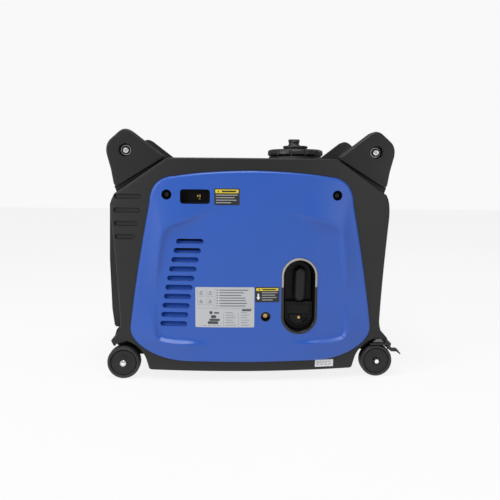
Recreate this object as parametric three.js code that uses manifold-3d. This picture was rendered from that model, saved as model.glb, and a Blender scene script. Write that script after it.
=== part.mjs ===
// Suitcase-style inverter generator: two bowed side frames with handle ears, blue side panels,
// an exhaust end with fixed wheels, a control end with swivel casters, and the engine inside.
// Millimetres. +X towards the control end, -Y towards the recoil starter side, +Z up.
import * as THREE from 'three';
import { mergeVertices } from 'three/addons/utils/BufferGeometryUtils.js';
import Module from 'manifold-3d';

const wasm = await Module();
wasm.setup();

// Driving dimensions.
const bodyShiftX = -8.4;
const overallHeight = 490;
const gap = 0.3;
const frameInner = 147;
const bowRise = 208;
const bowRadius = 1176;
const wallThickness = 7;
const panelProud = 6;
const bodyBottom = 19.5;
const bodyTop = 435.5;
const earFace = 178;
const boltSeat = 161;
const earBoltX = 244.6;
const earBoltZ = 449.7;
const wheelRadius = 32.4;
const wheelX = 253;
const wheelWidth = 30;
const wheelMiddleY = 173;
const swivelX = 266;
const crankX = 40;
const crankZ = 150;
const gripX = 94.5;
const gripZ = 190.9;
const capX = 103;
const panelMiddleZ = 225;
const cutReach = 240;
const panelTilt = THREE.MathUtils.degToRad(3.43);

// Finishes.
function finish(color, roughness, metalness) {
  return new THREE.MeshStandardMaterial({ color, roughness, metalness });
}
const blackPlastic = finish(0x2b2b2d, 0.55, 0);
const bluePlastic = finish(0x2f5bb0, 0.4, 0);
const rubber = finish(0x1c1c1d, 0.8, 0);
const greySteel = finish(0xa9acb0, 0.35, 0.9);
const aluminium = finish(0xb9bcc0, 0.45, 0.8);
const castIron = finish(0x55585c, 0.6, 0.7);
const darkPlastic = finish(0x4a4b4e, 0.5, 0);
const redPlastic = finish(0xb02a22, 0.45, 0);
const brass = finish(0xb89a55, 0.35, 0.9);
const cordGrey = finish(0x777777, 0.9, 0);
const copper = finish(0xa5623a, 0.4, 0.8);

// Solids from three.js geometry.
function solidOf(geometry) {
  const bare = new THREE.BufferGeometry();
  bare.setAttribute('position', geometry.getAttribute('position'));
  if (geometry.index) {
    bare.setIndex(geometry.index);
  }
  const merged = mergeVertices(bare, 1e-4);
  return new wasm.Manifold(new wasm.Mesh({
    numProp: 3,
    vertProperties: new Float32Array(merged.getAttribute('position').array),
    triVerts: new Uint32Array(merged.index.array),
  }));
}

function geometryOf(solid) {
  const mesh = solid.getMesh();
  const geometry = new THREE.BufferGeometry();
  geometry.setAttribute('position', new THREE.BufferAttribute(mesh.vertProperties, 3));
  geometry.setIndex(new THREE.BufferAttribute(mesh.triVerts, 1));
  return geometry;
}

function join(...solids) {
  return solids.reduce((whole, next) => whole.add(next));
}

function cut(solid, ...tools) {
  return tools.reduce((rest, tool) => rest.subtract(tool), solid);
}

// A block between two corners.
function block(x0, x1, y0, y1, z0, z1) {
  const geometry = new THREE.BoxGeometry(x1 - x0, y1 - y0, z1 - z0);
  geometry.translate((x0 + x1) / 2, (y0 + y1) / 2, (z0 + z1) / 2);
  return solidOf(geometry);
}

// A round bar along one axis, from one place to another on it.
function rod(axis, radius, from, to, u, v, sides = 20, radiusTo = radius) {
  const geometry = new THREE.CylinderGeometry(radiusTo, radius, to - from, sides);
  if (axis === 'x') {
    geometry.rotateZ(-Math.PI / 2);
    geometry.translate((from + to) / 2, u, v);
  } else if (axis === 'y') {
    geometry.translate(u, (from + to) / 2, v);
  } else {
    geometry.rotateX(Math.PI / 2);
    geometry.translate(u, v, (from + to) / 2);
  }
  return solidOf(geometry);
}

// An outline in the XZ plane made into a plate from y0 to y1.
function plate(points, y0, y1) {
  const shape = new THREE.Shape(points.map(([x, z]) => new THREE.Vector2(x, z)));
  const geometry = new THREE.ExtrudeGeometry(shape, { depth: y1 - y0, bevelEnabled: false });
  geometry.rotateX(Math.PI / 2);
  geometry.translate(0, y1, 0);
  return solidOf(geometry);
}

// The same on one side of the machine: side is -1 for the starter side, 1 for the far side.
function sidePlate(points, side, inner, outer) {
  return side < 0 ? plate(points, -outer, -inner) : plate(points, inner, outer);
}

// The space between the two bowed side faces, bulging to rise at the middle.
function bowSlab(rise) {
  const faceAt = (x) => rise - (x * x) / (2 * bowRadius);
  const stations = Array.from({ length: 11 }, (_, i) => -300 + 60 * i);
  const near = stations.map((x) => new THREE.Vector2(x, -faceAt(x)));
  const far = stations.map((x) => new THREE.Vector2(x, faceAt(x))).reverse();
  const shape = new THREE.Shape([...near, ...far]);
  const geometry = new THREE.ExtrudeGeometry(shape, { depth: 600, bevelEnabled: false });
  geometry.translate(0, 0, -50);
  return solidOf(geometry);
}

// Points of a path, as [x, z] pairs.
function pointsOf(path, divisions = 4) {
  return path.getPoints(divisions).map((p) => [p.x, p.y]);
}

// A right half outline, bottom to top, completed with its mirror image.
function mirrored(half) {
  const left = half.filter(([x]) => x > 0.01).map(([x, z]) => [-x, z]).reverse();
  return [...half, ...left];
}

// A stadium: a slot with round ends, along X or Z.
function stadium(x0, x1, z0, z1, steps = 6) {
  const radius = Math.min(x1 - x0, z1 - z0) / 2;
  const path = new THREE.Path();
  if (x1 - x0 > z1 - z0) {
    const middle = (z0 + z1) / 2;
    path.absarc(x1 - radius, middle, radius, -Math.PI / 2, Math.PI / 2, false);
    path.absarc(x0 + radius, middle, radius, Math.PI / 2, Math.PI * 1.5, false);
  } else {
    const middle = (x0 + x1) / 2;
    path.absarc(middle, z1 - radius, radius, 0, Math.PI, false);
    path.absarc(middle, z0 + radius, radius, Math.PI, Math.PI * 2, false);
  }
  return pointsOf(path, steps);
}

// A solid of revolution about the Y axis from [radius, y] pairs.
function turnedY(profile, x, z, sides = 24) {
  const points = profile.map(([r, y]) => new THREE.Vector2(r, y));
  const geometry = new THREE.LatheGeometry(points, sides);
  geometry.translate(x, 0, z);
  return solidOf(geometry);
}

// A solid of revolution about the Z axis from [radius, z] pairs.
function turnedZ(profile, x, y, sides = 24) {
  const points = profile.map(([r, z]) => new THREE.Vector2(r, z));
  const geometry = new THREE.LatheGeometry(points, sides);
  geometry.rotateX(Math.PI / 2);
  geometry.translate(x, y, 0);
  return solidOf(geometry);
}

const generator = new THREE.Group();
generator.position.x = bodyShiftX;

function add(name, solid, material, parent = generator) {
  const mesh = new THREE.Mesh(geometryOf(solid), material);
  mesh.name = name;
  parent.add(mesh);
  return mesh;
}

// Side frame: bowed cover with an ear at each end, arches for the wheels and a central opening.
function wheelArch(path) {
  path.lineTo(197, bodyBottom);
  path.quadraticCurveTo(203, bodyBottom, 203.5, 26);
  path.lineTo(206.5, 36);
  path.quadraticCurveTo(216, 72, 264, 79);
}

function frameHalf(footZ) {
  const path = new THREE.Path();
  path.moveTo(0, bodyBottom);
  wheelArch(path);
  path.lineTo(271, footZ);
  path.lineTo(273.5, footZ);
  path.lineTo(279.5, 74);
  path.lineTo(262.5, 93);
  path.lineTo(259, 107);
  path.quadraticCurveTo(262, 190, 274, 320);
  path.quadraticCurveTo(276, 352, 267, 366);
  path.lineTo(176, 427);
  path.quadraticCurveTo(168, bodyTop, 156, bodyTop);
  path.lineTo(0, bodyTop);
  return pointsOf(path);
}

function earHalf() {
  const path = new THREE.Path();
  path.moveTo(158, 410);
  path.lineTo(255, 355);
  path.lineTo(266.3, 373);
  path.lineTo(272.3, 413);
  path.lineTo(280, 441);
  path.quadraticCurveTo(283.5, 458, 273.5, 469);
  path.lineTo(255, 485.5);
  path.quadraticCurveTo(249, 490, 242, overallHeight);
  path.quadraticCurveTo(236, 490, 231, 485.5);
  path.lineTo(171, 438);
  return pointsOf(path);
}

function panelHalf() {
  const path = new THREE.Path();
  path.moveTo(0, 39);
  path.lineTo(130, 40);
  path.quadraticCurveTo(185, 42, 221, 70.6);
  path.quadraticCurveTo(240, 86, 238, 107);
  path.quadraticCurveTo(223, 225, 198, 347);
  path.quadraticCurveTo(196, 398, 149, 400.5);
  path.quadraticCurveTo(90, 410.5, 0, 411.6);
  return pointsOf(path);
}

function shrunk(points, scale) {
  return points.map(([x, z]) => [x * scale, panelMiddleZ + (z - panelMiddleZ) * scale]);
}

const frameHollowHalf = [
  [0, 30], [186, 30], [200, 66], [246, 92], [250, 120], [262, 320], [256, 358], [158, 424],
  [0, 424],
];
const panelOutline = mirrored(panelHalf());
const frameOutline = [
  ...frameHalf(69.5),
  ...frameHalf(63).filter(([x]) => x > 0.01).map(([x, z]) => [-x, z]).reverse(),
];
const slotRows = [
  { z: 360.8, from: -267, to: -213 },
  { z: 334.3, from: -268, to: -215.5 },
  { z: 308.4, from: -267.5, to: -221 },
  { z: 282.8, from: -266.5, to: -226 },
];
const slotHeight = 9.4;

function sideFrame(side) {
  const bow = bowSlab(bowRise);
  let cover = sidePlate(frameOutline, side, frameInner, cutReach).intersect(bow);
  const hollow = sidePlate(mirrored(frameHollowHalf), side, frameInner - 1, cutReach);
  cover = cut(cover, hollow.intersect(bowSlab(bowRise - wallThickness)));
  cover = cut(cover, sidePlate(shrunk(panelOutline, 0.93), side, 100, cutReach));
  for (const end of [-1, 1]) {
    const ear = earHalf().map(([x, z]) => [end * x, z]);
    const outline = end < 0 ? ear.reverse() : ear;
    cover = join(cover, sidePlate(outline, side, frameInner, earFace));
    const recess = side < 0 ? [-200, -boltSeat] : [boltSeat, 200];
    const hole = side < 0 ? [-200, -100] : [100, 200];
    cover = cut(
      cover,
      rod('y', 12.6, ...recess, end * earBoltX, earBoltZ, 20),
      rod('y', 5.4, ...hole, end * earBoltX, earBoltZ, 12),
    );
  }
  const groove = cut(bowSlab(bowRise + 5), bowSlab(bowRise - 2.5));
  for (const row of slotRows) {
    const slot = stadium(row.from, row.to, row.z - slotHeight / 2, row.z + slotHeight / 2, 4);
    cover = cut(cover, sidePlate(slot, side, 150, cutReach).intersect(groove));
  }
  return cover;
}

// Blue side panel: a bowed rim on the frame with a plug through its opening and a shallow field.
const recessHalf = (() => {
  const path = new THREE.Path();
  path.moveTo(0, 74);
  path.lineTo(150, 76);
  path.quadraticCurveTo(188, 80, 188, 106);
  path.lineTo(176, 270);
  path.quadraticCurveTo(172, 318, 110, 326);
  path.lineTo(0, 333);
  return pointsOf(path, 3);
})();
const ventCount = 10;
const ventTop = 276.3;
const ventPitch = 17.87;
const ventWidth = 52.6;

function ventLeft(index) {
  return -146 - 5.1 * index + 0.17 * index * index;
}

function sidePanel(side) {
  const skin = cut(bowSlab(bowRise + panelProud), bowSlab(bowRise + gap));
  const core = cut(bowSlab(bowRise + panelProud), bowSlab(bowRise - 8));
  const rim = sidePlate(panelOutline, side, 100, cutReach).intersect(skin);
  const plug = sidePlate(shrunk(panelOutline, 0.925), side, 100, cutReach).intersect(core);
  let panel = join(rim, plug);
  const field = cut(bowSlab(bowRise + 20), bowSlab(bowRise + 3));
  panel = cut(panel, sidePlate(mirrored(recessHalf), side, 100, cutReach).intersect(field));
  for (let i = 0; i < ventCount; i += 1) {
    const z = ventTop - ventPitch * i;
    const vent = stadium(ventLeft(i), ventLeft(i) + ventWidth, z - 5, z + 5, 4);
    panel = cut(panel, sidePlate(vent, side, 100, cutReach));
  }
  return panel;
}

// Starter side panel: also opened for the recoil recess, the service window and the drain.
function starterPanel() {
  const recess = plate(stadium(58.4, 125.6, 96.9, 243.1, 8), -cutReach, -100);
  const window = plate([[-137.9, 348.1], [-81.1, 348.1], [-81.1, 375.6], [-137.9, 375.6]], -cutReach, -204);
  const drain = rod('y', 8.8, -cutReach, -100, 26.1, 130.5, 14);
  return cut(sidePanel(-1), recess, window, drain);
}

// Recoil recess: flanged tub, deep behind the grip and shallow below it.
function starterRecess() {
  const flange = plate(stadium(56, 128, 94.5, 245.5, 8), -cutReach, -100)
    .intersect(cut(bowSlab(bowRise + 5), bowSlab(bowRise + 3.3)));
  const tub = plate(stadium(58.9, 125.1, 97.4, 242.6, 8), -cutReach, -176).intersect(bowSlab(bowRise + 4));
  const pocket = plate(stadium(62, 122, 100, 239, 8), -cutReach, -180);
  const sill = plate([[60, 98], [124, 98], [124, 156], [60, 156]], -196, -176)
    .intersect(plate(stadium(60, 124, 98, 241, 8), -cutReach, -100));
  const boss = rod('y', 19.5, -200, -190, 91, 130.5, 20);
  const eyelet = rod('y', 3.2, -cutReach, -100, gripX, gripZ, 10);
  return cut(join(cut(join(flange, tub), pocket), sill, boss), eyelet);
}

// Base tray: the floor between the side frames, with shelves at the ends and axle hangers.
function baseTray() {
  const halfWidth = frameInner - gap;
  const profile = mirrored([
    [0, bodyBottom], [202, bodyBottom], [206, 36], [214, 54], [228, 69], [258, 79.5], [258, 96], [0, 96],
  ]);
  const tray = cut(
    plate(profile, -halfWidth, halfWidth),
    block(-194, 194, -140, 140, 28, 120),
    block(-194, 194, -150, 150, 60, 120),
  );
  const hangers = [-1, 1].map((side) => {
    const inner = side * 104;
    const outer = side * 122;
    const lug = block(-266, -238, Math.min(inner, outer), Math.max(inner, outer), 22, 90);
    return cut(lug, rod('y', 6.3, -140, 140, -wheelX, wheelRadius, 14));
  });
  return join(tray, fixedWheelLiner(), casterLiner(), ...hangers);
}

// Dark walls behind the wheels, closing the arches. The one at the casters is narrower, so the
// casters swivel past it.
const linerBottom = 39;

function fixedWheelLiner() {
  const halfWidth = frameInner - gap;
  return plate([
    [-250, linerBottom], [-200, linerBottom], [-200, 90], [-272, 90], [-277, 74], [-274, 62],
  ], -halfWidth, halfWidth);
}

function casterLiner() {
  const halfWidth = frameInner - gap;
  return join(
    block(200, 222, -halfWidth, halfWidth, linerBottom, 80),
    block(200, 270, -122, 122, linerBottom, 90),
  );
}

// Top cover with the raised filler collar.
function topCover() {
  const halfWidth = frameInner - gap;
  const deck = block(-161, 168, -halfWidth, halfWidth, 426, bodyTop - gap);
  const collar = rod('z', 61.5, 430, 446, capX, 0, 32, 59);
  const bore = rod('z', 32.5, 400, 460, capX, 0, 24);
  return cut(join(deck, collar), bore);
}

// End covers: shells between the side frames, sloped at the top under the carrying bars.
const controlProfile = [
  [168.3, 430.9], [168.3, 96.3], [257, 96.3], [256, 107], [258, 150], [262, 215],
  [267, 300], [268, 346], [266, 362], [262, 373],
];
const controlHollow = [
  [150, 428], [150, 80], [250, 80], [250, 107], [252, 150], [256, 215], [261, 300], [262, 346],
  [260, 358], [257.5, 366],
];
const exhaustProfile = [
  [-161.3, bodyTop - gap], [-262, 373], [-268, 366], [-277, 356], [-280.9, 345], [-281.9, 295],
  [-283.1, 235], [-282.1, 185], [-280.1, 134], [-275.9, 100], [-273, 96.3], [-161.3, 96.3],
];
const exhaustHollow = [
  [-150, 428], [-257.5, 366], [-263, 361], [-272, 352], [-274.9, 343], [-275.9, 295],
  [-277.1, 235], [-276.1, 185], [-274.1, 134], [-269.9, 100], [-269, 80], [-150, 80],
];
const exhaustPortY = 62;
const exhaustPortZ = 150;

function controlEndCover() {
  const halfWidth = frameInner - gap;
  const shell = cut(
    plate([...controlProfile], -halfWidth, halfWidth),
    plate([...controlHollow], -halfWidth + 6, halfWidth - 6),
  );
  return cut(shell, block(240, 290, -108, 108, 132, 308));
}

function exhaustEndCover() {
  const halfWidth = frameInner - gap;
  let shell = cut(
    plate(exhaustProfile, -halfWidth, halfWidth),
    plate(exhaustHollow, -halfWidth + 6, halfWidth - 6),
  );
  for (let row = 0; row < 6; row += 1) {
    for (const middle of [-66, 0, 66]) {
      const z = 206 + 22 * row;
      shell = cut(shell, block(-300, -260, middle - 27, middle + 27, z - 5, z + 5));
    }
  }
  return cut(shell, rod('x', 30.5, -300, -240, exhaustPortY, exhaustPortZ, 20));
}

add('base_tray', baseTray(), blackPlastic);
add('side_frame_near', sideFrame(-1), blackPlastic);
add('side_frame_far', sideFrame(1), blackPlastic);
add('side_panel_near', starterPanel(), bluePlastic);
add('side_panel_far', sidePanel(1), bluePlastic);
add('top_cover', topCover(), blackPlastic);
add('exhaust_end_cover', exhaustEndCover(), blackPlastic);
add('control_end_cover', controlEndCover(), blackPlastic);
add('starter_recess', starterRecess(), darkPlastic);

// Carrying bars: steel tube between the ears, a rubber grip, and a bolt through each ear.
const barRadius = 12;
const gripHalf = 68;
for (const end of [-1, 1]) {
  const label = end < 0 ? 'exhaust' : 'control';
  const bar = new THREE.Group();
  bar.position.set(end * earBoltX, 0, earBoltZ);
  generator.add(bar);
  const barEnd = frameInner - gap;
  let tube = rod('y', barRadius, -barEnd, barEnd, 0, 0, 20);
  for (const side of [-1, 1]) {
    const from = side < 0 ? -barEnd - 1 : barEnd - 35;
    tube = cut(tube, rod('y', 4.6, from, from + 36, 0, 0, 12));
  }
  add(`handle_bar_${label}`, tube, greySteel, bar);
  const sleeve = turnedY([
    [barRadius + gap, -gripHalf], [15.5, -gripHalf], [17, -gripHalf + 4], [17, gripHalf - 4],
    [15.5, gripHalf], [barRadius + gap, gripHalf], [barRadius + gap, -gripHalf],
  ], 0, 0, 20);
  add(`handle_grip_${label}`, sleeve, rubber, bar);
  for (const side of [-1, 1]) {
    const bolt = turnedY([
      [0, -8.5], [3.4, -8.5], [5.9, -7], [7, -4.5], [7, -2.2], [10.6, -2.2], [10.6, -gap],
      [4.3, -gap], [4.3, 40], [0, 40],
    ], 0, 0, 16);
    const mesh = add(`handle_bolt_${label}_${side < 0 ? 'near' : 'far'}`, bolt, greySteel, bar);
    mesh.position.y = side * boltSeat;
    mesh.rotation.z = side < 0 ? 0 : Math.PI;
  }
}

// Wheels: a tyre and hub moulded as one, running on a fixed axle or a caster pin.
const hubBore = 6.1;
const axleRadius = 6;

function wheel() {
  const half = wheelWidth / 2;
  const r = wheelRadius;
  const bore = hubBore;
  return turnedY([
    [bore, -half + 1], [10, -half + 1], [24, -half + 4], [26, -half + 2], [r - 3, -half + 1],
    [r, -half + 6], [r, half - 6], [r - 3, half - 1], [26, half - 2], [24, half - 4],
    [10, half - 1], [bore, half - 1], [bore, -half + 1],
  ], 0, 0, 28);
}

add('rear_axle', rod('y', axleRadius, -190.5, 190.5, -wheelX, wheelRadius, 20), greySteel);
for (const side of [-1, 1]) {
  const where = side < 0 ? 'near' : 'far';
  const mesh = add(`fixed_wheel_${where}`, wheel(), rubber);
  mesh.position.set(-wheelX, side * wheelMiddleY, wheelRadius);
}

// Swivel casters: a fixed plate, a one-legged fork with its axle pin, a wheel and a brake pedal.
const plateBottom = 69.2;
const crownBottom = 65.4;
const crownTop = 68.9;
const pedalPivot = [279, 59];

function casterPlate() {
  const foot = block(-18, 1.5, -8, 20, plateBottom, plateBottom + 3);
  const spacer = block(-14, -2, -6, 24, plateBottom + 2, 75);
  const kingpin = rod('z', 3.2, crownBottom, plateBottom + 1, 0, 0, 14);
  return join(foot, spacer, kingpin);
}

function casterFork() {
  const trail = wheelX - swivelX;
  const crown = cut(
    block(-26, 16, -14.6, 20.5, crownBottom, crownTop),
    rod('z', 3.4, 50, 80, 0, 0, 14),
  );
  const legOutline = [[-26, crownTop], [trail - 9, wheelRadius], [trail - 6, wheelRadius - 8],
    [trail + 6, wheelRadius - 8], [trail + 9, wheelRadius], [16, crownTop]];
  const leg = plate(legOutline, 16.3, 20.5);
  const pin = rod('y', axleRadius, -17.5, 18, trail, wheelRadius, 20);
  const cheeks = [[-11.8, -8.8], [8.8, 11.8]].map(([y0, y1]) => block(9, 16, y0, y1, 56, crownTop));
  const pedalPin = rod('y', 2, -11.8, 11.8, pedalPivot[0] - swivelX, pedalPivot[1], 10);
  return join(crown, leg, pin, ...cheeks, pedalPin);
}

function brakePedal() {
  const arm = plate([
    [-3, -1], [5.5, -9], [17.5, -9], [23.6, -15.6], [25.6, -14], [18.5, -6.3], [6.5, -6.3], [0, 3],
  ].reverse(), -8.4, 8.4);
  const eye = rod('y', 4, -8.4, 8.4, 0, 0, 12);
  return cut(join(arm, eye), rod('y', 2.1, -20, 20, 0, 0, 10));
}

for (const side of [-1, 1]) {
  const where = side < 0 ? 'near' : 'far';
  const caster = new THREE.Group();
  caster.position.set(swivelX, side * wheelMiddleY, 0);
  generator.add(caster);
  // The far caster is the near one seen in a mirror, so its parts are turned about or mirrored.
  const flip = (solid) => (side < 0 ? solid : solid.mirror([0, 1, 0]));
  add(`caster_plate_${where}`, flip(casterPlate()), greySteel, caster);
  add(`caster_fork_${where}`, flip(casterFork()), greySteel, caster);
  const mesh = add(`caster_wheel_${where}`, wheel(), rubber, caster);
  mesh.position.set(wheelX - swivelX, 0, wheelRadius);
  const pedal = add(`brake_pedal_${where}`, brakePedal(), blackPlastic, caster);
  pedal.position.set(pedalPivot[0] - swivelX, 0, pedalPivot[1]);
}

// Recoil starter: grip, cord, pulley and its housing.
const pulleyRadius = 42;
const pulleyY = -162;

function starterGrip() {
  const body = plate(stadium(-12.5, 12.5, -34.3, 34.3, 6), -9, 9);
  const waist = [-1, 1].map((end) => rod('y', 6, -20, 20, end * 17.5, 0, 12));
  return cut(body, ...waist);
}

const grip = add('starter_handle', starterGrip(), darkPlastic);
grip.position.set(gripX, -194, gripZ);

function starterCord() {
  const cordRadius = 2;
  const top = crankZ + pulleyRadius + cordRadius + gap;
  const route = new THREE.CatmullRomCurve3([
    new THREE.Vector3(gripX, -184.6, gripZ),
    new THREE.Vector3(gripX, -172, gripZ),
    new THREE.Vector3(gripX - 4, pulleyY - 2, gripZ + 1.5),
    new THREE.Vector3(gripX - 14, pulleyY, gripZ + 3.5),
    new THREE.Vector3(crankX + 20, pulleyY, top),
    new THREE.Vector3(crankX, pulleyY, top),
  ]);
  const ring = new THREE.Shape();
  ring.absarc(0, 0, cordRadius, 0, Math.PI * 2, false);
  const geometry = new THREE.ExtrudeGeometry(ring, {
    steps: 16, curveSegments: 4, bevelEnabled: false, extrudePath: route,
  });
  return solidOf(geometry);
}

function starterPulley() {
  const y = pulleyY;
  return turnedY([
    [8.2, y - 6], [46.5, y - 6], [46.5, y - 4], [pulleyRadius, y - 3], [pulleyRadius, y + 3],
    [46.5, y + 4], [46.5, y + 6], [8.2, y + 6], [8.2, y - 6],
  ], crankX, crankZ, 28);
}

function recoilHousing() {
  const cup = turnedY([
    [0, -172], [62, -172], [62, -100.3], [59, -100.3], [59, -169], [8, -169], [8, -152], [0, -152],
  ], crankX, crankZ, 28);
  return cut(cup, block(70, 110, -168.5, -150, 170, 200));
}

add('starter_rope', starterCord(), cordGrey);
add('starter_pulley', starterPulley(), darkPlastic);
add('recoil_housing', recoilHousing(), aluminium);

// Fuel: tank with its neck, the filler plug, the cap and its vent knob.
function fuelTank() {
  const body = join(
    block(-70, 176, -110, 110, 338, 408),
    rod('z', 29, 400, 437, capX, 0, 24),
  );
  const inside = join(
    block(-66, 172, -106, 106, 342, 404),
    rod('z', 25, 390, 450, capX, 0, 24),
  );
  return cut(body, inside);
}

add('fuel_tank', fuelTank(), darkPlastic);
add('filler_plug', turnedZ([[0, 425], [23.5, 425], [23.5, 437.5], [30, 437.5], [30, 446.2],
  [0, 446.2]], capX, 0, 24), rubber);

function fuelCap() {
  const skirt = turnedZ([
    [0, 446.6], [61, 446.6], [61.5, 448], [61.5, 459], [59.5, 461], [31, 461.5], [28, 463.5],
    [27.5, 469], [26, 470.2], [0, 470.2],
  ], capX, 0, 32);
  const notches = Array.from({ length: 12 }, (_, i) => {
    const angle = (i * Math.PI) / 6;
    return rod('z', 5, 440, 458, capX + 64 * Math.cos(angle), 64 * Math.sin(angle), 10);
  });
  return cut(skirt, ...notches);
}

add('fuel_cap', fuelCap(), blackPlastic);
const knob = join(
  rod('z', 13.4, 470.5, 480, 0, 0, 20),
  block(-13, 13, -3.5, 3.5, 479, 485),
);
add('fuel_vent_knob', knob, blackPlastic).position.set(capX - 3, 0, 0);

// Engine: crankcase, finned barrel and head in one casting, with the crankshaft through it.
function engineBlock() {
  const crankcase = block(-30, 110, -100, 50, 78, 215);
  const barrel = block(8, 72, -58, 18, 210, 300);
  const fins = Array.from({ length: 5 }, (_, i) => block(-6, 86, -72, 32, 224 + 15 * i, 229 + 15 * i));
  const head = block(0, 80, -66, 26, 298, 322);
  const feet = [-30, 86].map((x) => block(x, x + 24, -96, 46, 28.3, 80));
  const bore = rod('y', 12.15, -150, 100, crankX, crankZ, 24);
  return cut(join(crankcase, barrel, ...fins, head, ...feet), bore);
}

function rotorAndFan() {
  const drum = turnedY([
    [12.3, 60], [58, 60], [58, 104], [20, 104], [20, 112], [12.3, 112], [12.3, 60],
  ], crankX, crankZ, 28);
  const blades = Array.from({ length: 6 }, (_, i) => {
    const blade = block(16, 54, -1.5, 1.5, 0, 24);
    return blade.rotate([0, 0, i * 60]).rotate([-90, 0, 0]).translate([crankX, 103, crankZ]);
  });
  return join(drum, ...blades);
}

add('engine_block', engineBlock(), aluminium);
add('crankshaft', rod('y', 12, -146, 128, crankX, crankZ, 24), greySteel);
add('rotor_fan', rotorAndFan(), castIron);
add('stator', turnedY([[60.5, 62], [74, 62], [74, 98], [60.5, 98], [60.5, 62]],
  crankX, crankZ, 28), copper);
add('carburetor', join(block(86.5, 108, -30, 6, 236, 280), rod('y', 9, -46, -28, 97, 258, 14)),
  aluminium);
add('air_filter_box', block(116, 200, -70, 60, 226, 326), blackPlastic);
add('muffler', cut(rod('x', 52, -214, -60, exhaustPortY - 30, 236, 24),
  rod('x', 9, -cutReach, -200, exhaustPortY - 30, 212, 12)), castIron);

function exhaustOutlet() {
  const rim = cut(
    rod('x', 30, -287, -250, exhaustPortY, exhaustPortZ, 20),
    rod('x', 22, -300, -256, exhaustPortY, exhaustPortZ, 20),
  );
  const bars = [-10, 0, 10].map((y) => block(-283, -281, exhaustPortY + y - 1.2,
    exhaustPortY + y + 1.2, exhaustPortZ - 22.5, exhaustPortZ + 22.5));
  return join(rim, ...bars);
}

add('exhaust_outlet', exhaustOutlet(), greySteel);

function inverterModule() {
  const base = block(-186, -56, -120, 120, 28.3, 62);
  const fins = Array.from({ length: 9 }, (_, i) => block(-180 + 14.6 * i, -176 + 14.6 * i,
    -116, 116, 60, 84));
  return join(base, ...fins);
}

add('inverter_module', inverterModule(), aluminium);
add('battery', join(block(130, 190, -130, -50, 28.3, 130), rod('z', 5, 128, 138, 146, -112, 12),
  rod('z', 5, 128, 138, 174, -112, 12)), darkPlastic);

// Control panel: a tilted plate with its switches, sockets and covers.
const controls = new THREE.Group();
controls.position.set(255, 0, 220);
controls.rotation.y = panelTilt;
generator.add(controls);

function addControl(name, solid, material, y, z) {
  const mesh = add(name, solid, material, controls);
  mesh.position.set(gap, y, z);
  return mesh;
}

const socketPlaces = [{ letter: 'a', y: 18 }, { letter: 'b', y: 74 }];
const socketZ = 2;
const dcPlace = [-22, -52];
const switchColumnY = -74;
const breakerPlace = [56, 62];

function controlPlate() {
  let board = block(-5, 0, -122, 122, -98, 94);
  for (const place of socketPlaces) {
    board = cut(board, rod('x', 20.3, -20, 20, place.y, socketZ, 24));
  }
  return cut(
    board,
    rod('x', 11.3, -20, 20, ...dcPlace, 18),
    rod('x', 10.5, -20, 20, switchColumnY, 2, 18),
    rod('x', 7.5, -20, 20, breakerPlace[0], breakerPlace[1], 14),
    block(-20, 20, switchColumnY - 7.6, switchColumnY + 7.6, -52, -28),
  );
}

function socket(radius, depth, wall) {
  return turnedY([
    [0, -depth], [radius, -depth], [radius, gap], [radius + 3, gap], [radius + 3, 3],
    [radius - wall, 3], [radius - wall, -depth + 3], [0, -depth + 3],
  ], 0, 0, 24).rotate([0, 0, -90]);
}

function socketCover() {
  const lid = join(
    rod('x', 23, 0, 3, 0, -23, 24),
    block(0, 3, -18, 18, -14, -2),
  );
  return join(lid, rod('y', 2.2, -12, 12, 1.5, 0, 10));
}

add('control_panel', controlPlate(), blackPlastic, controls);
const switchKnob = join(rod('x', 20, 0, 9, 0, 0, 24), block(8, 17, -5, 5, -18, 18));
addControl('engine_switch_knob', switchKnob, darkPlastic, switchColumnY, 52);
addControl('start_button', rod('x', 10, -3.5, 6.5, 0, 0, 20), redPlastic, switchColumnY, 2);
const rocker = new THREE.Shape([[-3, -11], [4, -11], [2, 0], [6, 11], [-3, 11]]
  .map(([x, z]) => new THREE.Vector2(x, z)));
const rockerGeometry = new THREE.ExtrudeGeometry(rocker, { depth: 14, bevelEnabled: false });
rockerGeometry.rotateX(Math.PI / 2);
rockerGeometry.translate(0, 7, 0);
addControl('econ_rocker', solidOf(rockerGeometry), darkPlastic, switchColumnY, -40);
addControl('display_module', block(0, 5, -30, 30, -14, 14), darkPlastic, -10, 62);
addControl('breaker_button', rod('x', 7, -3, 7, 0, 0, 16), redPlastic, ...breakerPlace);
addControl('ground_terminal', join(rod('x', 9, 0, 2, 0, 0, 16), rod('x', 4, 1, 14, 0, 0, 12),
  rod('x', 7, 3, 8, 0, 0, 6)), brass, 84, -66);
for (const place of socketPlaces) {
  const shell = addControl(`ac_socket_${place.letter}`, socket(20, 18, 2), darkPlastic,
    place.y, socketZ);
  shell.position.x = 0;
  const lid = addControl(`ac_cover_${place.letter}`, socketCover(), blackPlastic,
    place.y, socketZ + 26);
  lid.position.x = 3.4;
}
addControl('dc_socket', socket(11, 14, 2), darkPlastic, ...dcPlace).position.x = 0;

export default generator;
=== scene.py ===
import math
import bpy
from mathutils import Matrix, Vector


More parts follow.
